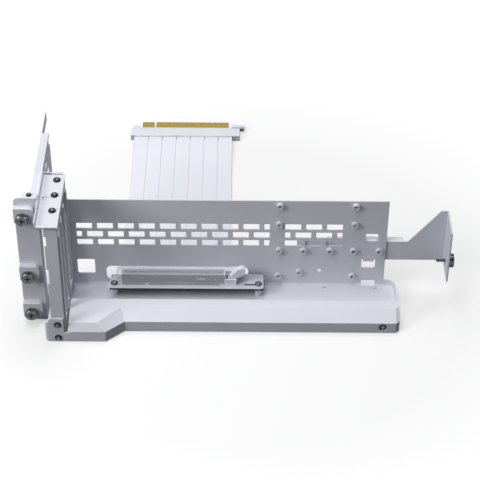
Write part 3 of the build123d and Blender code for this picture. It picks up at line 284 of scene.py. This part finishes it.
def cable_skin():
    """White sleeve of the flat cable: fine ribs and cream edges, read across the strip."""
    material, nodes, links, shader = blank_material("white_cable_skin")
    across = nodes.new("ShaderNodeUVMap")
    across.uv_map = "across"
    axes = nodes.new("ShaderNodeSeparateXYZ")
    links.new(across.outputs["UV"], axes.inputs["Vector"])
    ribs = nodes.new("ShaderNodeMath")
    ribs.operation = "SINE"
    times = nodes.new("ShaderNodeMath")
    times.operation = "MULTIPLY"
    times.inputs[1].default_value = 2 * math.pi * CABLE_RIBS
    links.new(axes.outputs["X"], times.inputs[0])
    links.new(times.outputs["Value"], ribs.inputs[0])
    edge = nodes.new("ShaderNodeMath")
    edge.operation = "PINGPONG"
    edge.inputs[1].default_value = 0.5
    links.new(axes.outputs["X"], edge.inputs[0])
    colour = ramp(nodes, links, edge.outputs["Value"],
                  (0.80, 0.77, 0.70), (0.83, 0.845, 0.92), 0.005, 0.03)
    links.new(colour, shader.inputs["Base Color"])
    grain = noise(nodes, links, 600, 2)
    links.new(spread(nodes, links, grain, 0.38, 0.52), shader.inputs["Roughness"])
    links.new(bump(nodes, links, ribs.outputs["Value"], 0.00003), shader.inputs["Normal"])
    return material


POWDER = powder_coat()
OXIDE = black_oxide()
NICKEL = dark_nickel()
WORN = plain_metal("worn_recess", (0.42, 0.42, 0.44), (0.60, 0.60, 0.62), 0.5)
ZINC = plain_metal("grey_zinc", (0.10, 0.10, 0.105), (0.18, 0.18, 0.19), 0.45)
# Thumbscrew recesses: painted shade, darker than the nickel round them
RECESS = plain_metal("painted_shade_recess", (0.05, 0.05, 0.055), (0.10, 0.10, 0.11), 0.45)
LACQUER = board_lacquer()
PLASTIC = moulded_plastic("white_moulded_plastic", (0.74, 0.76, 0.82), (0.79, 0.81, 0.87))
# Grey plastic for the ribs in the gaps at the plug: painted shade where the strips part
GAP_SHADE_PLASTIC = moulded_plastic("grey_plastic_painted_gap_shade", (0.28, 0.29, 0.32), (0.34, 0.35, 0.38))
SHELL = brushed_shell("brushed_slot_shell", (0.38, 0.385, 0.405), (0.47, 0.475, 0.495))
# lighter shell steel for a few patches on its front
SHELL_LIGHT = brushed_shell("lighter_shell_marks", (0.60, 0.61, 0.64), (0.70, 0.71, 0.74))
GOLD = gold_plate()
TONGUE = plug_board_lacquer()
# Near-black plastic for the catch at the plug, and for the slab under the riser board that is
# painted shade
BLACK_PLASTIC_AND_SHADE = moulded_plastic("black_plastic_and_painted_shade",
                              (0.012, 0.012, 0.013), (0.022, 0.022, 0.024))
CABLE = cable_skin()


def coat(node, material):
    """Give a carried-over solid its finish."""
    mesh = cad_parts[node].data
    mesh.materials.clear()
    mesh.materials.append(material)


for node in STEEL_PARTS:
    coat(node, POWDER)
for node in BLACK_SCREWS:
    coat(node, OXIDE)
for node in THUMBSCREWS:
    coat(node, NICKEL)
for node in PLASTIC_PARTS:
    coat(node, PLASTIC)
coat("riser_board", LACQUER)
coat("slot_shell", SHELL)
coat("plug_board", TONGUE)


# Building new pieces
def piece_from(bm, name, material, body):
    """Turn a finished bmesh into a piece that rides on a body."""
    bmesh.ops.recalc_face_normals(bm, faces=bm.faces)
    mesh = bpy.data.meshes.new(name)
    bm.to_mesh(mesh)
    bm.free()
    mesh.materials.append(material)
    piece = bpy.data.objects.new(name, mesh)
    bpy.context.scene.collection.objects.link(piece)
    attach(piece, body)
    return piece


def block(bm, low, high, bevel=0.0):
    """Box between two corners, with its edges rounded."""
    made = bmesh.ops.create_cube(bm, size=1.0)["verts"]
    bmesh.ops.scale(bm, vec=high - low, verts=made)
    bmesh.ops.translate(bm, vec=(low + high) / 2, verts=made)
    if bevel:
        edges = list({edge for vert in made for edge in vert.link_edges})
        bmesh.ops.bevel(bm, geom=edges, offset=bevel, segments=2, profile=0.5,
                        affect="EDGES", material=-1)


def blocks(name, corners, bevel, material, body):
    """One piece of rounded boxes, each between two corners in millimetres."""
    bm = bmesh.new()
    for low, high in corners:
        block(bm, at(*low), at(*high), bevel * MM)
    return piece_from(bm, name, material, body)


# Screws: built along Z from the face they seat on, then turned to where they point
POINTS = {
    "up": Matrix.Identity(4),
    "front": Matrix.Rotation(math.pi / 2, 4, "X"),
    "back": Matrix.Rotation(-math.pi / 2, 4, "X"),
    "right": Matrix.Rotation(math.pi / 2, 4, "Y"),
}
THREAD_PITCH = 0.7
THREAD_DEPTH = 0.3
SHANK_RADIUS = 1.45
SHANK_CHAMFER = 0.6
RECESS_TAPER = 0.82
THUMB_HEIGHT = 6.0
THUMB_FACE = 5.85
KNURL_STEPS = 96
KNURL_DEPTH = 0.45
SHARP_ANGLE = math.radians(32)
MERGE_DISTANCE = 1e-7


def turned(bm, profile, steps):
    """Surface turned about Z from radius and height points in millimetres."""
    verts = [bm.verts.new((radius * MM, 0, height * MM)) for radius, height in profile]
    edges = [bm.edges.new(pair) for pair in zip(verts, verts[1:])]
    bmesh.ops.spin(bm, geom=verts + edges, cent=(0, 0, 0), axis=(0, 0, 1),
                   angle=2 * math.pi, steps=steps, use_merge=True)
    bmesh.ops.remove_doubles(bm, verts=bm.verts, dist=MERGE_DISTANCE)


def threaded_shank(bm, reach, top):
    """Closed shank with thread rings, from its chamfered tip up into the head."""
    profile = [(0, -reach), (SHANK_RADIUS - SHANK_CHAMFER, -reach)]
    height = -reach + SHANK_CHAMFER
    while height < -THREAD_PITCH:
        profile += [(SHANK_RADIUS, height),
                    (SHANK_RADIUS - THREAD_DEPTH, height + THREAD_PITCH / 2)]
        height += THREAD_PITCH
    turned(bm, profile + [(SHANK_RADIUS, 0), (SHANK_RADIUS, top), (0, top)], 24)


def cross_recess(bm, height, length, width, depth):
    """Close the open top of a head with a face that has a tapered cross recess."""
    rim = [edge for edge in bm.edges if edge.is_boundary]
    arm, half = length / 2 * MM, width / 2 * MM
    outline = []
    for quarter in range(4):
        turn = Matrix.Rotation(quarter * math.pi / 2, 3, "Z")
        for x, y in ((arm, half), (half, half), (half, arm)):
            outline.append(bm.verts.new(turn @ Vector((x, y, height * MM))))
    edges = [bm.edges.new(pair) for pair in zip(outline, outline[1:] + outline[:1])]
    bmesh.ops.triangle_fill(bm, use_beauty=True, use_dissolve=False, edges=rim + edges)
    made = bmesh.ops.extrude_edge_only(bm, edges=edges)["geom"]
    low_verts = [item for item in made if isinstance(item, bmesh.types.BMVert)]
    low_edges = [item for item in made if isinstance(item, bmesh.types.BMEdge)
                 and all(vert in low_verts for vert in item.verts)]
    bmesh.ops.translate(bm, vec=(0, 0, -depth * MM), verts=low_verts)
    bmesh.ops.scale(bm, vec=(RECESS_TAPER, RECESS_TAPER, 1), verts=low_verts)
    bmesh.ops.contextual_create(bm, geom=low_edges)
    # Recess faces take the second material: worn bare steel on the black screws, painted shade on
    # the thumbscrews
    for vert in low_verts:
        for face in vert.link_faces:
            face.material_index = 1


def knurl(bm, radius, depth, steps):
    """Press every third column of the rim inwards."""
    valleys = []
    for vert in bm.verts:
        column = round(math.atan2(vert.co.y, vert.co.x) / (2 * math.pi) * steps) % 3
        if column == 0 and vert.co.xy.length > (radius - 0.05) * MM:
            valleys.append(vert)
    factor = (radius - depth) / radius
    bmesh.ops.scale(bm, vec=(factor, factor, 1), verts=valleys)


def thumb_head(bm, radius, reach):
    """Knurled head on a narrower waist, with a slightly sunk face."""
    turned(bm, [(0, 0), (4.0, 0), (4.0, 1.2), (radius - 0.5, 1.2), (radius, 1.7), (radius, 3.5),
                (radius, 5.3), (radius - 0.7, THUMB_HEIGHT), (radius - 1.2, THUMB_HEIGHT),
                (radius - 1.4, THUMB_FACE)], KNURL_STEPS)
    knurl(bm, radius, KNURL_DEPTH, KNURL_STEPS)
    cross_recess(bm, THUMB_FACE, 5.4, 1.15, 1.9)
    threaded_shank(bm, reach, 1.0)


def pan_head(bm, radius, height, reach):
    """Domed head with a small edge radius."""
    crown = 0.66 * radius
    turned(bm, [(0, 0), (radius - 0.15, 0), (radius, 0.15), (radius, 0.4 * height),
                (radius - 0.10 * radius, 0.68 * height), (radius - 0.21 * radius, 0.87 * height),
                (crown, height)], 48)
    cross_recess(bm, height, 1.16 * radius, 0.30 * radius, 0.4 * height)
    threaded_shank(bm, reach, 0.4 * height)


def screw_set(node, body, points, seats, radius, height, materials):
    """One piece with the screws of a node, each at its seat; height is None for a thumbscrew."""
    low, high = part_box(node)
    axis = {"up": 2, "front": 1, "back": 1, "right": 0}[points]
    head = THUMB_HEIGHT if height is None else height
    reach = (high - low)[axis] / MM - head
    whole = bmesh.new()
    for seat in seats:
        bm = bmesh.new()
        if height is None:
            thumb_head(bm, radius, reach)
        else:
            pan_head(bm, radius, height, reach)
        bmesh.ops.recalc_face_normals(bm, faces=bm.faces)
        place = Matrix.Translation(at(*seat)) @ POINTS[points]
        bmesh.ops.transform(bm, matrix=place, verts=bm.verts)
        part = bpy.data.meshes.new("part")
        bm.to_mesh(part)
        bm.free()
        whole.from_mesh(part)
        bpy.data.meshes.remove(part)
    piece = piece_from(whole, node + "_turned", materials[0], body)
    piece.data.materials.append(materials[1])
    piece.data.shade_smooth()
    piece.data.set_sharp_from_angle(angle=SHARP_ANGLE)
    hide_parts(node)


FLANGE_Z = 123.6
for node, body, points, seats, radius, height in (
    ("card_screws", "frame", "up",
     [(-5.1, y, FLANGE_Z) for y in (-50.64, -30.32, -10.0)], 3.1, 1.9),
    ("tab_screws", "frame", "front", [(-6.2, -70.6, 4.6), (-6.2, -70.6, 18.7)], 3.0, 1.2),
    ("rear_screws", "frame", "back", [(-5, 1, 30), (-5, 1, 82), (-5, 1, 120.2)], 2.8, 1.7),
    ("side_screw", "frame", "right", [(1, -12, 10.8)], 2.8, 1.7),
    ("plate_screw", "frame", "up", [(-24.5, -38.95, 130.4)], 2.2, 1.6),
    ("bar_screw", "frame", "front", [(267, -56.65, 5.8)], 3.3, 0.6),
    ("riser_screws", "frame", "up", [(37.6, -14.6, 16.5), (161.8, -14.6, 16.5)], 3.1, 1.6),
):
    head = {"riser_screws": ZINC, "side_screw": WORN}.get(node, OXIDE)
    screw_set(node, body, points, seats, radius, height, (head, WORN))
for node, body, points, seats, radius in (
    ("plate_thumbscrews", "frame", "front",
     [(-29.9, -48.7, z) for z in (13.8, 54.44, 115.4)], 5.4),
    ("arm_screw", "frame", "back", [(222.8, 2.6, 43.2)], 5.4),
    ("end_thumbscrew", "arm", "right", [(322, -12, 42.6)], 6.1),
):
    # the cross recesses of the thumbscrews are painted shade
    screw_set(node, body, points, seats, radius, None, (NICKEL, RECESS))


# Riser slot: sprung contacts down both walls of its two cavities
CONTACT_PITCH = 1.0
SLOT_Y = -12.4
SLOT_ROWS = ((47.2, 10), (60.8, 69))      # first contact and count of the short and the long row
PLUG_ROWS = ((48.9, 11), (62.45, 71))


def contact_places(rows):
    """Places of the contacts of all rows, in millimetres from the slot wall."""
    return [start + i * CONTACT_PITCH for start, count in rows for i in range(count)]


blocks("slot_contacts",
       [((x - 0.28, SLOT_Y + side * 0.85 - 0.15, 19.8),
         (x + 0.28, SLOT_Y + side * 0.85 + 0.15, 24.8))
        for x in contact_places(SLOT_ROWS) for side in (-1, 1)],
       0, GOLD, "frame")
blocks("slot_shell_foot",
       [((44.6, -16.55, 16.55), (131.4, -16.1, 19.3))],
       0.12, SHELL, "frame")
# Lighter patches on the front of the shell
blocks("slot_shell_marks",
       [((108.7, -16.32, 22.2), (116.0, -16.1, 24.0)), ((59.7, -16.3, 23.9), (61.1, -16.1, 25.3)),
        ((124.2, -16.3, 21.8), (125.6, -16.1, 23.2))],
       0.09, SHELL_LIGHT, "frame")
blocks("slot_feet",
       [((64.3, -16.85, 16.55), (67.4, -16.3, 18.1)),
        ((128.8, -17.0, 16.55), (132.6, -16.3, 17.7))],
       0.2, PLASTIC, "frame")

# Plug: gold fingers on both faces of its board, grey ribs in the gaps between the strips as
# painted shade, and a guide post
STRIP_COUNT = 7
STRIP_PITCH = 13.75
CABLE_LEFT = 41.2
blocks("plug_fingers",
       [((x - 0.39, 236.2, z), (x + 0.39, 243.5, z + 0.05))
        for x in contact_places(PLUG_ROWS) for z in (3.26, 4.89)],
       0, GOLD, "frame")
blocks("plug_gap_shade",
       [((CABLE_LEFT + STRIP_PITCH * i - 0.4, 215.2, 3.0),
         (CABLE_LEFT + STRIP_PITCH * i + 0.4, 220.1, 4.85)) for i in range(1, STRIP_COUNT)],
       0.1, GAP_SHADE_PLASTIC, "frame")
blocks("plug_post",
       [((39.4, 234.2, 2.4), (45.4, 237.8, 5.2))],
       0.7, PLASTIC, "frame")
blocks("plug_catch",
       [((142.0, 234.6, 1.2), (148.8, 237.8, 3.3))],
       0.3, BLACK_PLASTIC_AND_SHADE, "frame")
lid = blocks("plug_lid",
             [((37.5, 220.0, 4.05), (144.8, 232.6, 6.1))],
             0.5, PLASTIC, "frame")
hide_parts("plug_shell_upper")

# Grip ribs across the end of the slot's latch
blocks("latch_grip",
       [((144.6 + 1.3 * i, -14.6, 32.2 + 0.4 * i), (145.2 + 1.3 * i, -10.2, 32.9 + 0.4 * i))
        for i in range(3)],
       0.12, PLASTIC, "latch")

# Black slab under the riser board, painted shade for the dark gap above the shelf, and beads
# pressed into the strips between the card slots
blocks("painted_shade_under_board",
       [((34.3, -20.9, 14.5), (165.7, -1.4, 14.95))],
       0.1, BLACK_PLASTIC_AND_SHADE, "frame")
blocks("slot_beads",
       [((-0.2, y - 2.5, 17.0), (1.3, y + 2.5, 111.0)) for y in (-6.64, -26.96, -47.28)]
       + [((-0.2, -67.4, 17.0), (1.3, -64.4, 111.0))],
       0.5, POWDER, "frame")


# Flat cable: seven strips that follow one route, given by y and z in millimetres
STRIP_WIDTH = 13.7 * MM
STRIP_THICKNESS = 1.0 * MM
CABLE_ROUTE = (
    (-1.0, 18.4),
    (9.0, 18.4),
    (22.0, 12.5),
    (37.0, 4.0),
    (60.0, 0.6),
    (98.0, 1.8),
    (150.0, 0.6),
    (185.0, 1.5),
    (207.0, 4.1),
    (220.0, 4.1),
)


def cable_line(x):
    """Points of the smooth line through the route, at one place across the cable."""
    curve = bpy.data.curves.new("cable_line", "CURVE")
    curve.dimensions = "3D"
    curve.resolution_u = 8
    spline = curve.splines.new("NURBS")
    spline.points.add(len(CABLE_ROUTE) - 1)
    for point, (y, z) in zip(spline.points, CABLE_ROUTE):
        point.co = (*at(x, y, z), 1)
    spline.order_u = 3
    spline.use_endpoint_u = True
    holder = bpy.data.objects.new("cable_line", curve)
    mesh = bpy.data.meshes.new_from_object(holder)
    line = [vertex.co.copy() for vertex in mesh.vertices]
    bpy.data.objects.remove(holder)
    bpy.data.meshes.remove(mesh)
    bpy.data.curves.remove(curve)
    return line


def cable_strip(index):
    """One strip: its rounded section carried along the line."""
    middle = CABLE_LEFT + (index + 0.5) * STRIP_PITCH
    line = cable_line(middle)
    half, thick, rounding, flat = STRIP_WIDTH / 2, STRIP_THICKNESS / 2, 0.3 * MM, 0.6 * MM
    quarter = [(half, thick - rounding), (half - rounding, thick), (half - flat, thick)]
    section = (
        [(x, -z) for x, z in reversed(quarter)] + quarter
        + [(-x, z) for x, z in reversed(quarter)] + [(-x, -z) for x, z in quarter]
    )
    bm = bmesh.new()
    uv_layer = bm.loops.layers.uv.new("across")
    rings = []
    for i, point in enumerate(line):
        ahead = line[min(i + 1, len(line) - 1)] - line[max(i - 1, 0)]
        up = Vector((1, 0, 0)).cross(ahead.normalized())
        rings.append([bm.verts.new(point + Vector((x, 0, 0)) + up * z) for x, z in section])
    for ring, after in zip(rings, rings[1:]):
        for k in range(len(section)):
            n = (k + 1) % len(section)
            bm.faces.new((ring[k], ring[n], after[n], after[k]))
    bm.faces.new(rings[0])
    bm.faces.new(reversed(rings[-1]))
    left = line[0].x - half
    for face in bm.faces:
        face.smooth = len(face.verts) == 4
        for loop in face.loops:
            loop[uv_layer].uv = ((loop.vert.co.x - left) / STRIP_WIDTH, loop.vert.co.y)
    node = f"ribbon_strip_{index + 1}"
    strip = piece_from(bm, f"cable_strip_{index + 1}", CABLE, "frame")
    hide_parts(node)


for index in range(STRIP_COUNT):
    cable_strip(index)


# Floor, lights and world
FLOOR_GLOW = 0.43
FLOOR_GLOW_RISE = 0.30        # extra glow away from the part
GLOW_START, GLOW_END = 0.2, 0.5
FLOOR_SIZE = 6.0
FLOOR_DROP = 0.0002
AMBIENT = 0.13


def floor():
    """Pale floor that shows white to the camera and keeps the soft contact shadow."""
    bm = bmesh.new()
    bmesh.ops.create_grid(bm, x_segments=1, y_segments=1, size=FLOOR_SIZE)
    mesh = bpy.data.meshes.new("floor")
    bm.to_mesh(mesh)
    bm.free()
    ground = bpy.data.objects.new("floor", mesh)
    bpy.context.scene.collection.objects.link(ground)
    ground.location.z = -FLOOR_DROP
    material, nodes, links, shader = blank_material("pale_floor")
    shader.inputs["Roughness"].default_value = 0.9
    shader.inputs["Specular IOR Level"].default_value = 0.0
    light_path = nodes.new("ShaderNodeLightPath")
    colour = ramp(nodes, links, light_path.outputs["Is Camera Ray"],
                  (0.07, 0.07, 0.072), (0.50, 0.50, 0.503), 0, 1)
    links.new(colour, shader.inputs["Base Color"])
    seen = nodes.new("ShaderNodeMath")
    seen.operation = "MAXIMUM"
    links.new(light_path.outputs["Is Camera Ray"], seen.inputs[0])
    links.new(light_path.outputs["Is Glossy Ray"], seen.inputs[1])
    strength = nodes.new("ShaderNodeMath")
    strength.operation = "MULTIPLY"
    links.new(seen.outputs["Value"], strength.inputs[0])
    coordinates = nodes.new("ShaderNodeTexCoord")
    distance = nodes.new("ShaderNodeVectorMath")
    distance.operation = "LENGTH"
    links.new(coordinates.outputs["Object"], distance.inputs[0])
    reach = nodes.new("ShaderNodeMapRange")
    reach.inputs["From Min"].default_value = GLOW_START
    reach.inputs["From Max"].default_value = GLOW_END
    reach.inputs["To Min"].default_value = FLOOR_GLOW
    reach.inputs["To Max"].default_value = FLOOR_GLOW + FLOOR_GLOW_RISE
    links.new(distance.outputs["Value"], reach.inputs["Value"])
    links.new(reach.outputs["Result"], strength.inputs[1])
    shader.inputs["Emission Color"].default_value = (1, 1, 1, 1)
    links.new(strength.outputs["Value"], shader.inputs["Emission Strength"])
    mesh.materials.append(material)


def soft_lamp(name, place, target, size, watts):
    """Round area lamp at a place, turned to its target."""
    data = bpy.data.lights.new(name, "AREA")
    data.shape = "DISK"
    data.size = size
    data.energy = watts
    lamp = bpy.data.objects.new(name, data)
    lamp.location = place
    lamp.rotation_euler = (Vector(target) - Vector(place)).to_track_quat("-Z", "Y").to_euler()
    bpy.context.scene.collection.objects.link(lamp)


def studio_world():
    """Even light from all round, white where the camera looks."""
    world = bpy.data.worlds.new("studio")
    bpy.context.scene.world = world
    world.use_nodes = True
    nodes, links = world.node_tree.nodes, world.node_tree.links
    background = nodes["Background"]
    light_path = nodes.new("ShaderNodeLightPath")
    strength = nodes.new("ShaderNodeMapRange")
    strength.inputs["To Min"].default_value = AMBIENT
    strength.inputs["To Max"].default_value = 1.0
    links.new(light_path.outputs["Is Camera Ray"], strength.inputs["Value"])
    background.inputs["Color"].default_value = (0.97, 0.98, 1.0, 1)
    links.new(strength.outputs["Result"], background.inputs["Strength"])


floor()
soft_lamp("top_lamp", (0.05, 0.38, 1.75), (0, 0, 0.05), 1.4, 18)
soft_lamp("high_lamp", (-0.35, -0.45, 1.5), (0, 0, 0.05), 0.7, 6.5)
soft_lamp("left_lamp", (-0.95, -0.6, 0.75), (-0.05, 0, 0.05), 0.5, 7.5)
studio_world()
bpy.context.scene.view_settings.view_transform = "Standard"
